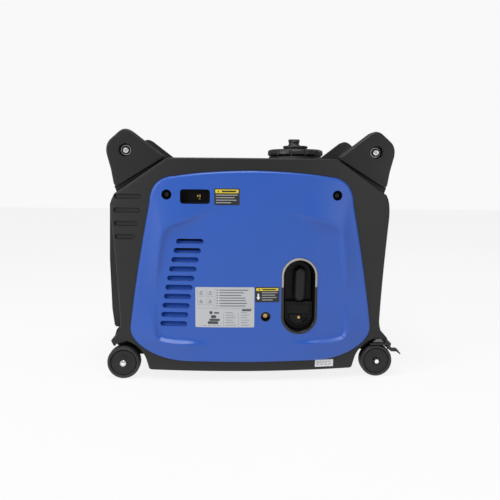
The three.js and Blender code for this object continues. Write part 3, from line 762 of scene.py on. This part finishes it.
def brakePedal(side, where):
    shape = [(-3.4, -1.8), (5.4, -9), (16.5, -9.6), (24.2, -15.6), (25.4, -14.2),
             (18.8, -5.2), (8.2, -4.8), (3, 2.6), (-2, 3.2)]
    loop = along(shape + [shape[0]], 60)
    rings = []
    for half, inset in ((-8.2, 0.9), (-7.9, 0.3), (-7.2, 0), (7.2, 0), (7.9, 0.3), (8.2, 0.9)):
        rings.append([(pedal["x"] + x, side * wheel["y"] + half, pedal["z"] + z)
                      for x, z in insetLoop(loop, inset)])
    skin = rolled(f"brake_pedal_{where}_skin", rings)
    finished(skin, "dark", f"brake_pedal_{where}", 35,
             (f"brake_pedal_{where}",))


for side, where in ((-1, "near"), (1, "far")):
    brakePedal(side, where)
    makeWheel(f"fixed_wheel_{where}", -wheel["x"], side, f"fixed_wheel_{where}")
    makeWheel(f"caster_wheel_{where}", wheel["x"], side, f"caster_wheel_{where}")
    cap = [(0, 191), (3.5, 190.6), (6, 189), (6.8, 187.2), (6.8, 184.6), (0, 184.6)]
    finished(lathed(f"axle_cap_{where}", onSide(side, cap), (-wheel["x"], 0, wheel["radius"]),
                    count=32), "chrome", "root")
    nut = [(0, 190.6), (4.2, 190.6), (6.4, 189.8), (6.4, 185), (0, 185)]
    finished(lathed(f"caster_nut_{where}", onSide(side, nut), (wheel["x"], 0, wheel["radius"]),
                    count=6), "chrome", f"caster_{where}", 20)
print("wheels made")

# Starter recess, grip and cord
# The recess's opening, how far its rim stands out and how wide it is, and the sill's height
recess = {"x": (56, 128), "z": (94.5, 245.5), "floor": 180.5, "rim": 6.5, "lip": 5.6,
          "sill": 156.5, "sillFace": 196.5, "trimEnd": 188}
boss = {"x": 91, "z": 130.5, "arcs": (7.6, 12, 16.4), "half": 1.3}
handle = {"x": 94.5, "z": 190.9, "wide": 12.5, "tall": 34.3, "lean": 0.035}
starterRope = {"radius": 1.9, "from": -173, "to": -186.8, "steps": 40}


def starterRecess():
    outer = stadium(*recess["x"], *recess["z"], 96)
    lip = insetLoop(outer, recess["lip"])
    rim = recess["rim"]
    rings = [onBow(insetLoop(outer, 1), -2), onBow(outer, 0.5), onBow(outer, rim - 2)]
    for inwards, out in rounding(2, 4)[1:]:
        rings.append(onBow(insetLoop(outer, inwards), rim - 2 + out))
    for inwards, out in reversed(rounding(1.6, 4)):
        rings.append(onBow(insetLoop(lip, -inwards), rim - 1.6 + out))
    rings.append(onBow(lip, -2))
    rings.append(rings[0])
    bezel = rolled("starter_bezel", rings, holes=False)
    finished(bezel, "gloss", "root", 32)
    rings = []
    for part in (0, 0.3, 0.6, 1):
        deep = insetLoop(lip, 0.1 + 2.6 * part)
        rings.append([(x, bowY(x, rim - 2.4) * (1 - part) - (recess["floor"] + 4) * part, z)
                      for x, z in deep])
    for inwards, out in rounding(4, 4)[1:]:
        rings.append(flat(insetLoop(lip, 2.7 + inwards), -recess["floor"] - 4 + out))
    back = insetLoop(lip, 0.1)
    rings.append(flat(insetLoop(back, 8), -recess["floor"]))
    wall = [flat(back, -recess["floor"] + 4), onBow(back, rim - 2.6)]
    tub = rolled("starter_recess_skin", wall + rings)
    # The recess tub is recess-shade black: painted shade inside the recess
    return finished(tub, "recessShadeBlack", "root", 32, ("starter_recess",))


def sillLoop(inset):
    x0, x1 = recess["x"]
    z0 = recess["z"][0]
    inner = recess["lip"] + 2.2 + inset
    middle, radius = (x0 + x1) / 2, (x1 - x0) / 2
    reach = radius - inner
    top = recess["sill"] - inset
    points = [(middle - reach, top), (middle - reach, z0 + radius)]
    for i in range(1, 25):
        angle = math.pi + math.pi * i / 24
        points.append((middle + reach * math.cos(angle), z0 + radius + reach * math.sin(angle)))
    points += [(middle + reach, top), (middle - reach, top)]
    return along(points, 96)


# A row of points along an arc of the boss, from one angle to the other
def bossArc(radius, first, last):
    angles = [math.radians(first + (last - first) * i / 8) for i in range(9)]
    return [(boss["x"] + radius * math.cos(a), boss["z"] + radius * math.sin(a)) for a in angles]


def starterSill():
    face = recess["sillFace"]
    rings = [flat(sillLoop(0), -recess["floor"] - 1), flat(sillLoop(0), -face + 1.5)]
    for inwards, out in rounding(1.5, 3)[1:]:
        rings.append(flat(sillLoop(inwards), -face + 1.5 - out))
    rings.append(flat(sillLoop(4.2), -face))
    rings.append(flat(sillLoop(5.4), -face + 2.6))
    sill = rolled("starter_sill", rings)
    profile = [(0, -198), (17.5, -198), (19, -197.2), (19.5, -196), (19.5, -192), (0, -192)]
    bossRing = lathed("boss", profile, (boss["x"], 0, boss["z"]), count=56)
    upper = roundedBox(60, 122, 131, 170, 0.5, 16)
    carved(bossRing, [rolled("half", [flat(upper, -194.4), flat(upper, -205)])])
    arcs = []
    for radius in boss["arcs"]:
        arc = bossArc(radius + boss["half"], -8, -60) + bossArc(radius - boss["half"], -60, -8)
        arcs.append(rolled("arc", [flat(arc, -195.2), flat(arc, -204)]))
    carved(bossRing, arcs)
    # Boss and sill are recess-shade black: painted shade on the recess floor
    finished(bossRing, "recessShadeBlack", "root", 30)
    return finished(sill, "recessShadeBlack", "root", 30)


def starterTrim():
    x0, x1 = recess["x"]
    middle, outer = (x0 + x1) / 2, (x1 - x0) / 2
    top = recess["z"][1] - outer
    rings = []
    stations = [(0, recess["trimEnd"] + (top - recess["trimEnd"]) * i / 6) for i in range(6)]
    stations += [(180 * i / 32, top) for i in range(33)]
    stations += [(180, top - (top - recess["trimEnd"]) * i / 6) for i in range(1, 7)]
    section = [(1.1, 4.5), (1.1, 6.7), (1.9, 7.2), (4.2, 7.2), (4.9, 6.7), (4.9, 4.5)]
    for angle, z in stations:
        a = math.radians(angle)
        ring = []
        for inwards, out in section:
            x = middle + (outer - inwards) * math.cos(a)
            ring.append((x, bowY(x, out), z + (outer - inwards) * math.sin(a)))
        rings.append(ring)
    return finished(rolled("starter_trim", rings), "trim", "root", 30)


def starterGrip():
    x0, z0 = handle["x"], handle["z"]
    wide, tall = handle["wide"], handle["tall"]
    rings = []
    for shrink, y in ((7, -185.6), (2.2, -186.6), (0.6, -189), (0, -192), (0.4, -194.6),
                      (1.3, -197), (2.8, -199.2), (4.8, -200.9), (7.2, -202), (9.6, -202.6),
                      (11.6, -202.8)):
        loop = insetLoop(stadium(x0 - wide, x0 + wide, z0 - tall, z0 + tall, 64), shrink)
        rings.append([(x - (z0 - z) * handle["lean"], y, z) for x, z in loop])
    grip = rolled("starter_handle_skin", rings)
    return finished(grip, "grip", "starter_handle", 40, ("starter_handle",))


def starterCord():
    x, z, radius = handle["x"], handle["z"], starterRope["radius"]
    first, last = starterRope["from"], starterRope["to"]
    rings = []
    for i in range(starterRope["steps"] + 1):
        y = first + (last - first) * i / starterRope["steps"]
        rings.append([(x + radius * math.cos(a), y, z + radius * math.sin(a))
                      for a in (2 * math.pi * k / 16 for k in range(16))])
    cord = rolled("starter_cord_free", rings)
    cord.data.materials.append(materials["cord"])
    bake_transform(cord)


starterRecess()
starterSill()
starterTrim()
starterGrip()
starterCord()
print("starter side made")

# Screws, window and drain


def screw(name, x, z, face, radius, material, side=-1, socket=True):
    head = [(0, face - 3), (radius, face - 3), (radius, face - 0.8), (radius * 0.82, face),
            (0, face)]
    piece = lathed(name, onSide(side, head), (x, 0, z), count=32)
    if socket:
        key = [(0, face - 1.4), (radius * 0.5, face - 1.4), (radius * 0.5, face + 2), (0, face + 2)]
        carved(piece, [lathed("socket", onSide(side, key), (x, 0, z), count=6)])
    return finished(piece, material, "root", 30)


def cupOf(name, x, z, radius, depth, front, material, side=-1):
    profile = [(0, depth), (radius - 1.2, depth), (radius - 0.6, depth + 0.6),
               (radius - 0.6, front - 0.8), (radius - 0.2, front), (radius + 0.1, front),
               (radius + 0.1, depth - 1.5), (0, depth - 1.5)]
    return finished(lathed(name, onSide(side, profile), (x, 0, z), count=48), material, "root",
                    30)


for side, where in ((-1, "near"), (1, "far")):
    for x, end in ((-panelScrew["x"], "exhaust"), (panelScrew["x"], "control")):
        # The cups behind the panel screw holes are pit black: painted shade inside the holes
        cupOf(f"panel_cup_{where}_{end}", x, panelScrew["z"], 9.6, 193, 199.5, "pit", side)
        screw(f"panel_screw_{where}_{end}", x, panelScrew["z"], 196.6, 4.6, "blackSteel", side)
cupOf("drain_cup", drain["x"], drain["z"], 9.5, 198, 213.2, "gloss")
screw("drain_screw", drain["x"], drain["z"], 203.4, 4.8, "brass")
screw("boss_screw", 92.3, 126, 199.6, 3.1, "brass", socket=False)


def serviceWindow():
    (x0, x1), (z0, z1), gap = window["x"], window["z"], window["gap"]
    loop = roundedBox(x0 + gap, x1 - gap, z0 + gap, z1 - gap, window["corner"] - gap, 64)
    inner = insetLoop(loop, 1.3)
    rings = [onBow(loop, -8), onBow(loop, 4.6), onBow(insetLoop(loop, 0.3), 5),
             onBow(insetLoop(loop, 1), 5), onBow(inner, 4.4), onBow(inner, -4),
             onBow(insetLoop(inner, 2), -5.5)]
    # The window's inside is pit black: painted shade in the opening
    finished(rolled("service_window", rings), "pit", "root", 30)
    contacts = []
    for x, z, wide, tall in ((-104.5, 363, 3.4, 4.6), (-100.2, 363.2, 2.6, 6), (-101, 357.4, 4, 2)):
        loop = roundedBox(x - wide / 2, x + wide / 2, z - tall / 2, z + tall / 2, 0.6, 16)
        contacts.append(rolled("contact", [onBow(loop, -6), onBow(loop, -2.6),
                                           onBow(insetLoop(loop, 0.4), -2.2)]))
    finished(joined("service_contacts", contacts), "brass", "root", 30)


serviceWindow()
print("screws and window made")

# Labels, with plain blocks, bars and strips in place of any words


labels = {"lift": 0.22, "print": 0.12, "wide": 16}


# A thin plate that follows the bow of the side; wide ones get more points round their edge
def sticker(x0, x1, z0, z1, out, corner=0.8, thick=0.25):
    loop = roundedBox(x0, x1, z0, z1, corner, 24)
    if x1 - x0 > labels["wide"]:
        loop = along(loop + [loop[0]], 120)
    middle = ((x0 + x1) / 2, (z0 + z1) / 2)
    rings = [onBow(loop, out - thick), onBow(loop, out - 0.06)]
    for factor in (0.995, 0.8, 0.6, 0.4, 0.2, 0.03):
        rings.append(onBow(scaled(loop, factor, middle), out))
    return rolled("sticker", rings)


def labelPiece(name, parts, material):
    return finished(joined(name, parts), material, "root", 30)


def bars(x0, x1, z, gap, tall, out):
    made = []
    for i, share in enumerate((1, 0.86, 0.95, 0.7)):
        middle = z - gap * i
        made.append(sticker(x0, x0 + (x1 - x0) * share, middle - tall / 2, middle + tall / 2, out,
                            tall * 0.45))
    return made


def noticeLabel(name, x0, x1, z0, z1, split, lineLeft):
    face = panel["proud"] + labels["lift"]
    labelPiece(name + "_base", [sticker(x0, x1, z0, z1, face, 1.6)], "labelBlack")
    labelPiece(name + "_strip", [sticker(x0 + 2, x1 - 2, split, z1 - 2, face + 0.08, 0.6)],
               "labelYellow")
    height = z1 - 2 - split
    head = sticker(x0 + (x1 - x0) * 0.3, x1 - (x1 - x0) * 0.14, split + height * 0.28,
                   split + height * 0.7, face + 0.15, 0.6)
    mark = lathed("mark", [(0, 0), (height * 0.36, 0), (height * 0.36, 0.2), (0, 0.2)],
                  (0, 0, 0), count=3)
    x, z = x0 + (x1 - x0) * 0.17, split + height * 0.42
    for vertex in mark.data.vertices:
        across, up = vertex.co.z, vertex.co.x - offsetX * mm
        vertex.co = ((x + offsetX) * mm + across, bowY(x, face + 0.12) * mm + vertex.co.y,
                     z * mm + up)
    tidyMesh(mark, False)
    labelPiece(name + "_heading", [head, mark], "labelBlack")
    step = (split - 2 - z0) / 4.3
    labelPiece(name + "_lines", bars(lineLeft, x1 - 3.5, split - step * 0.75, step,
                                     step * 0.36, face + 0.08), "labelGrey")


noticeLabel("notice_upper", -72.9, -25.1, 346.2, 377.7, 368.6, -70)
noticeLabel("notice_lower", 5.7, 52.5, 159.2, 188.9, 181.3, 18.5)


def arrowDown():
    face = panel["proud"] + labels["lift"] + 0.1
    shape = [(10.3, 176), (13.3, 176), (13.3, 169), (15.6, 169), (11.8, 163.6), (8, 169),
             (10.3, 169)]
    loop = along(shape + [shape[0]], 28)
    piece = rolled("arrow", [onBow(loop, face - 0.25), onBow(loop, face)])
    return labelPiece("notice_arrow", [piece], "labelWhite")


arrowDown()
plate = {"left": -109.5, "low": 109.7, "wide": 113.8, "tall": 78.8}
plateLines = {"count": 7, "pitch": 5.15, "long": 56,
              "shares": (1, 0.84, 0.76, 0.9, 0.92, 0.95, 0.9)}


# A printed mark on the rating plate, measured from the plate's lower left corner
def plateMark(x0, x1, z0, z1, corner, lift=0):
    out = panel["proud"] + labels["lift"] + labels["print"] + lift
    return sticker(plate["left"] + x0, plate["left"] + x1, plate["low"] + z0, plate["low"] + z1,
                   out, corner)


# Four small boxes, each with an edge and three bars
def plateBoxes():
    marks = []
    for column in range(2):
        for row in range(2):
            x, z = 11 + 17.5 * column, plate["tall"] - 11.5 - 16.5 * row
            marks.append(plateMark(x - 7, x + 7, z - 6.6, z - 6.3, 0.1))
            marks.append(plateMark(x - 7, x - 6.7, z - 6.6, z + 6.6, 0.1))
            for i in range(3):
                low = z - 3 + 2.6 * i
                marks.append(plateMark(x - 3.6 + 0.8 * i, x + 3.6 - 0.6 * i, low, low + 0.9, 0.3))
    return marks


def plateRows():
    marks = []
    for i in range(plateLines["count"]):
        z = plate["tall"] - 5.6 - plateLines["pitch"] * i
        marks.append(plateMark(41, 43, z - 1, z + 1, 0.4))
        marks.append(plateMark(46, 46 + plateLines["long"] * plateLines["shares"][i], z - 0.7,
                               z + 0.7, 0.5))
    return marks


def ratingPlate():
    wide, tall = plate["wide"], plate["tall"]
    base = sticker(plate["left"], plate["left"] + wide, plate["low"], plate["low"] + tall,
                   panel["proud"] + labels["lift"], 1.6)
    labelPiece("rating_plate", [base], "labelSilver")
    ink = plateBoxes() + plateRows() + [plateMark(wide - 24, wide - 6, 32.2, 36, 1)]
    labelPiece("rating_plate_ink", ink, "labelInk")
    lines = [plateMark(1, wide - 1, 37.6, 38, 0.1), plateMark(37.5, 37.9, 38, tall - 2, 0.1),
             plateMark(54, 54.4, 3, 29, 0.1), plateMark(83, 83.4, 3, 29, 0.1)]
    for i in range(6):
        z = 4.6 + 4.9 * i
        lines.append(plateMark(58, 78 - 3 * (i % 3), z - 0.55, z + 0.55, 0.4))
        lines.append(plateMark(88, 104 - 4 * (i % 2), z - 0.55, z + 0.55, 0.4))
    labelPiece("rating_plate_lines", lines, "labelMid")
    sketch = [plateMark(24, 44, 6.5, 12, 1.4), plateMark(27, 47, 12.6, 17, 1.2, 0.02),
              plateMark(30, 40, 18, 24, 2.4), plateMark(27, 33, 26, 32, 2.6),
              plateMark(36, 46, 27, 30, 1.2)]
    labelPiece("rating_plate_sketch", sketch, "labelInk")
    edging = [plateMark(15 + 9 * i, 21 + 9 * i, 3, 4, 0.3) for i in range(4)]
    labelPiece("rating_plate_note", edging, "labelMid")


ratingPlate()


def serialSticker():
    base = sticker(126, 163, 25.9, 40, 0.35, 0.6, 0.3)
    labelPiece("serial_sticker", [base], "labelWhite")
    marks = [sticker(129 + 6 * i, 133.4 + 6 * i, 34.4, 35.6, 0.5, 0.4) for i in range(5)]
    marks += [sticker(129 + 8 * i, 135 + 8 * i, 30, 31.2, 0.5, 0.4) for i in range(4)]
    labelPiece("serial_sticker_marks", marks, "labelMid")


serialSticker()
print("labels made")

# Control panel: the middle of its face, its tilt in degrees, and the height of its print
controls = {"x": 255, "z": 220, "tilt": 3.43, "switches": -74, "base": 0.02, "print": 0.14}


# A loop of (y, z) points laid on the tilted face
def onControls(loop, out):
    tilt = math.radians(controls["tilt"])
    return [(controls["x"] + out * math.cos(tilt) + z * math.sin(tilt), y,
             controls["z"] - out * math.sin(tilt) + z * math.cos(tilt)) for y, z in loop]


def printedLine(y0, y1, z0, z1):
    outer = roundedBox(y0, y1, z0, z1, 3, 48)
    inner = insetLoop(outer, 0.8)
    low, top = controls["base"], controls["print"]
    rings = [onControls(outer, low), onControls(outer, top), onControls(inner, top),
             onControls(inner, low)]
    return rolled("line", rings + [rings[0]], holes=False)


def printedBar(y, z, wide, tall=2.2, out=0):
    loop = roundedBox(y - wide / 2, y + wide / 2, z - tall / 2, z + tall / 2,
                      min(wide, tall) * 0.4, 24)
    return rolled("bar", [onControls(loop, out + controls["base"]),
                          onControls(loop, out + controls["print"])])


def controlMarks():
    switches = controls["switches"]
    lines = [printedLine(switches - 27, switches + 27, -62, 82), printedLine(-45, 25, 42, 82),
             printedLine(-11, 103, -28, 40), printedLine(42, 70, 46, 82),
             printedLine(-42, -2, -78, -34), printedLine(69, 99, -86, -50)]
    labelPiece("control_print_frames", lines, "labelMid")
    marks = [printedBar(switches, 77.5, 22), printedBar(switches, 18, 18),
             printedBar(switches, -22.5, 18), printedBar(-10, 45, 30, 1.8),
             printedBar(18, -23.5, 20), printedBar(74, -23.5, 20), printedBar(56, 78, 14, 1.8),
             printedBar(-22, -73, 22), printedBar(84, -82, 12, 1.8)]
    labelPiece("control_print_marks", marks, "labelGrey")
    lens = roundedBox(-36, 16, 52, 72, 1.5, 48)
    rings = [onControls(lens, 5.2), onControls(lens, 5.9), onControls(insetLoop(lens, 0.4), 6.2)]
    finished(rolled("display_lens", rings), "display", "root", 30)
    index = printedBar(switches, 62, 1.8, 13, 17.3)
    index.name = "engine_switch_index"
    finished(index, "labelWhite", "engine_switch_knob", 30)


controlMarks()
print("control panel marks made")

# Fuel cap and vent knob
cap = {"x": 103, "notches": 12, "notchAt": 63.6, "notch": 4.6, "knobX": 100}


def fuelCap():
    profile = [(0, 446.7), (56, 446.7), (58.5, 447.4), (61.2, 450.4), (61.2, 457.4),
               (59.6, 459.8), (56, 461.4), (32, 462), (25.4, 462.6), (24.6, 464), (26.8, 465),
               (27.4, 466.4), (27.4, 468.6), (26.4, 470), (0, 470.1)]
    base = lathed("fuel_cap_skin", profile, (cap["x"], 0, 0), "z", 96)
    tools = []
    notch = [(0, 440), (cap["notch"], 440), (cap["notch"], 462.6), (0, 462.6)]
    for i in range(cap["notches"]):
        angle = 2 * math.pi * (i + 0.5) / cap["notches"]
        place = (cap["x"] + cap["notchAt"] * math.cos(angle), cap["notchAt"] * math.sin(angle), 0)
        tools.append(lathed("notch", notch, place, "z", 24))
    carved(base, tools)
    applied(base, "BEVEL", width=0.6 * mm, segments=2, limit_method="ANGLE",
            angle_limit=math.radians(50))
    return finished(base, "dark", "fuel_cap", 40, ("fuel_cap",))


def ventKnob():
    center = cap["knobX"]
    stem = lathed("fuel_vent_knob_skin", [(0, 470.6), (13.2, 470.6), (13.3, 472), (11.6, 474),
                                          (11.4, 477.6), (12.6, 478.4), (12.8, 480),
                                          (12.2, 480.9), (0, 481)], (center, 0, 0), "z", 48)
    bar = rolled("bar", [[(center + x, y * w, z) for x, y in roundedBox(-h, h, -3.6, 3.6, 3, 32)]
                         for h, w, z in ((12.6, 1, 480), (12.6, 1, 483.6), (12.2, 0.9, 484.5),
                                         (11, 0.7, 484.9))])
    return finished(joined("fuel_vent_knob_skin", [stem, bar]), "dark", "fuel_vent_knob",
                    35, ("fuel_vent_knob",))


fuelCap()
ventKnob()
print("cap and knob made")

# Carrying bar grips and ear bolts
grips = {"ribs": 25, "pitch": 5}
for end, label in ((-1, "exhaust"), (1, "control")):
    place = (end * ears["x"], 0, ears["z"])
    profile = [(12.4, -67.8), (15.4, -67.8), (16.8, -66.6), (17, -64)]
    for i in range(grips["ribs"]):
        y = grips["pitch"] * (i - (grips["ribs"] - 1) / 2)
        profile += [(17, y - 1.5), (16.2, y - 0.8), (16.2, y + 0.8), (17, y + 1.5)]
    profile += [(17, 64), (16.8, 66.6), (15.4, 67.8), (12.4, 67.8), (12.4, -67.8)]
    finished(lathed(f"handle_grip_{label}_skin", profile, place, count=48, holes=False),
             "rubber", "root", 25, (f"handle_grip_{label}",))
    for side, where in ((-1, "near"), (1, "far")):
        washer = [(0, 161.4), (9.8, 161.4), (9.9, 162.4), (9.4, 162.9), (8.5, 162.9),
                  (8.3, 165), (7.4, 167.2), (5.6, 168.9), (3.9, 169.4), (3.2, 169.4),
                  (2.8, 167.6), (0, 167.4)]
        name = f"handle_bolt_{label}_{where}"
        finished(lathed(name + "_skin", onSide(side, washer), place, count=48), "chrome", "root",
                 35, (name,))
print("grips and bolts made")

# Stage: plain floor and soft light


# Strength of the world's light, of the backdrop that the camera sees, and of the floor's own glow
studio = {"sky": 0.26, "backdrop": 0.945, "glow": 0.85}


def floorMaterial():
    material = bpy.data.materials.new("paleFloor")
    material.use_nodes = True
    tree = material.node_tree
    shader = tree.nodes["Principled BSDF"]
    shader.inputs["Roughness"].default_value = 0.9
    grains = node(tree, "ShaderNodeGroup", node_tree=grainGroup)
    grains.inputs["Broad Scale"].default_value = 0.6
    mix = node(tree, "ShaderNodeMix", data_type="RGBA")
    mix.inputs["A"].default_value = (0.1, 0.1, 0.1, 1)
    mix.inputs["B"].default_value = (0.105, 0.105, 0.105, 1)
    link(tree, grains.outputs["Broad"], mix.inputs["Factor"])
    link(tree, mix.outputs["Result"], shader.inputs["Base Color"])
    shader.inputs["Emission Color"].default_value = (1, 1, 1, 1)
    shader.inputs["Emission Strength"].default_value = studio["glow"]
    return material


# Soft lamps: name, place, what they face, size and power
lamps = (("overhead", (-0.2, -0.9, 2.3), (0, -0.1, 0.25), 1.2, 36),
         ("front", (-2.3, -1.5, 1.3), (0, 0, 0.25), 1.0, 27),
         ("sheen", (1.5, -1.95, 0.7), (0.1, -0.2, 0.28), 0.8, 4.5),
         ("edge", (1.6, 1.2, 1.6), (0.1, 0, 0.3), 1.0, 5))


def addStage():
    deselect()
    bpy.ops.mesh.primitive_plane_add(size=14, location=(0, 0, -0.0005))
    floor = bpy.context.object
    floor.name = "floor"
    floor.data.materials.append(floorMaterial())
    bpy.context.scene.view_settings.view_transform = "Standard"


# The camera sees a plain bright backdrop, and the machine is lit by a dimmer one
def addWorld():
    world = bpy.data.worlds.new("studio")
    bpy.context.scene.world = world
    world.use_nodes = True
    tree = world.node_tree
    light = tree.nodes["Background"]
    light.inputs["Strength"].default_value = studio["sky"]
    light.inputs["Color"].default_value = (1, 1, 1, 1)
    seen = node(tree, "ShaderNodeBackground")
    seen.inputs["Color"].default_value = (1, 1, 1, 1)
    seen.inputs["Strength"].default_value = studio["backdrop"]
    path = node(tree, "ShaderNodeLightPath")
    choose = node(tree, "ShaderNodeMixShader")
    link(tree, path.outputs["Is Camera Ray"], choose.inputs["Fac"])
    link(tree, light.outputs["Background"], choose.inputs[1])
    link(tree, seen.outputs["Background"], choose.inputs[2])
    link(tree, choose.outputs["Shader"], tree.nodes["World Output"].inputs["Surface"])


def addLamps():
    for name, place, aim, size, power in lamps:
        bpy.ops.object.light_add(type="AREA", location=place)
        lamp = bpy.context.object
        lamp.name = name
        lamp.data.size = size
        lamp.data.energy = power
        direction = Vector(aim) - Vector(place)
        lamp.rotation_euler = direction.to_track_quat("-Z", "Y").to_euler()


addStage()
addWorld()
addLamps()
print("stage made")
